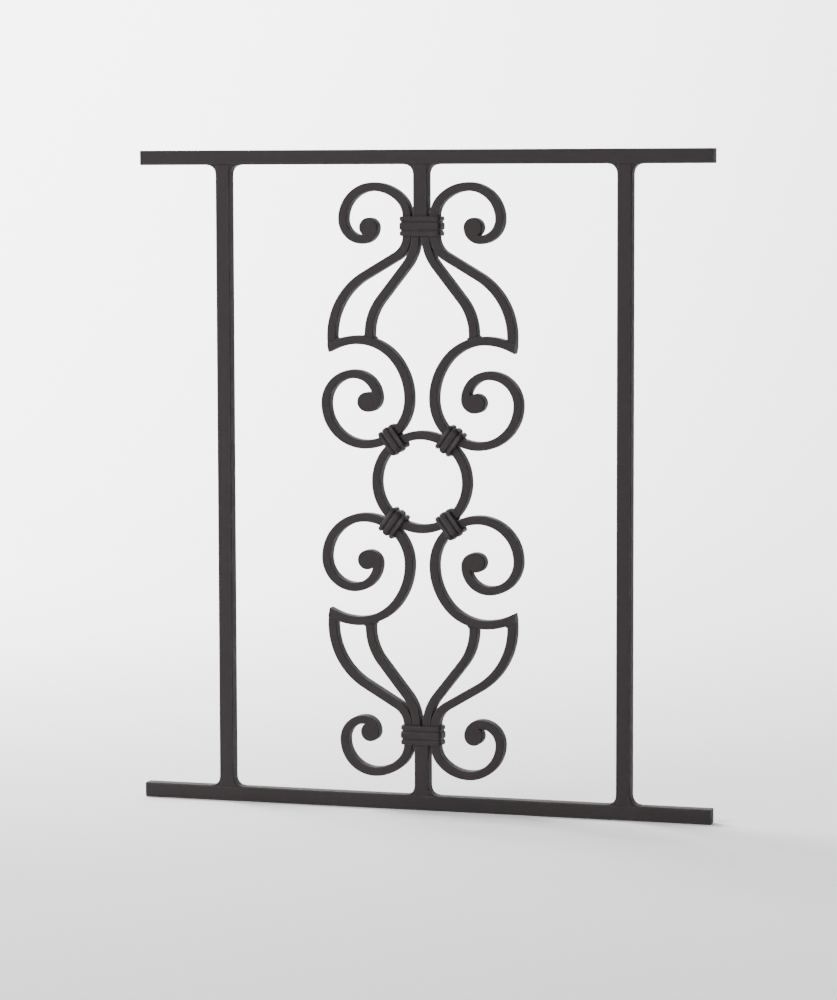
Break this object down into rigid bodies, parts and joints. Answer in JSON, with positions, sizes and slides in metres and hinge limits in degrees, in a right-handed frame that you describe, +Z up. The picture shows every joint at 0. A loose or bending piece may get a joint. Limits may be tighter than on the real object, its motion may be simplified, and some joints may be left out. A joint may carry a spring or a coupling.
{
  "type": "window security bar",
  "caption": "Fixed wrought-iron window grille: square rails and uprights around a symmetric scroll panel with a ring, C-scrolls, S-scrolls, stems and wrapped collars.",
  "frame": {"origin": "centre of the grille, half-way between the rails, the bars and the front and back faces", "axes": "+X along the rails to the right seen from the street, -Y towards the street, +Z up"},
  "size_m": [0.61, 0.025, 0.68],
  "materials": {
    "bar_paint": "satin dark anthracite paint on rolled square bar",
    "scroll_paint": "satin dark anthracite paint on forged flat bar",
    "collar_paint": "satin dark anthracite paint on wrapped collars",
    "weld_paint": "satin dark anthracite paint on ground welds"
  },
  "bodies": {
    "root": {"bottom_rail": "bar_paint", "c_scroll_lower_left": "scroll_paint", "c_scroll_lower_right": "scroll_paint", "c_scroll_upper_left": "scroll_paint", "c_scroll_upper_right": "scroll_paint", "centre_ring": "scroll_paint", "left_bar": "bar_paint", "left_bar_weld_lower": "weld_paint", "left_bar_weld_upper": "weld_paint", "lower_collar": "collar_paint", "lower_stub": "bar_paint", "right_bar": "bar_paint", "right_bar_weld_lower": "weld_paint", "right_bar_weld_upper": "weld_paint", "ring_collar_lower_left": "collar_paint", "ring_collar_lower_right": "collar_paint", "ring_collar_upper_left": "collar_paint", "ring_collar_upper_right": "collar_paint", "s_scroll_lower_left": "scroll_paint", "s_scroll_lower_right": "scroll_paint", "s_scroll_upper_left": "scroll_paint", "s_scroll_upper_right": "scroll_paint", "scroll_beads_lower_left": "weld_paint", "scroll_beads_lower_right": "weld_paint", "scroll_beads_upper_left": "weld_paint", "scroll_beads_upper_right": "weld_paint", "stem_lower_left": "scroll_paint", "stem_lower_right": "scroll_paint", "stem_upper_left": "scroll_paint", "stem_upper_right": "scroll_paint", "stub_weld_lower": "weld_paint", "stub_weld_upper": "weld_paint", "top_rail": "bar_paint", "upper_collar": "collar_paint", "upper_stub": "bar_paint"}
  },
  "joints": []
}
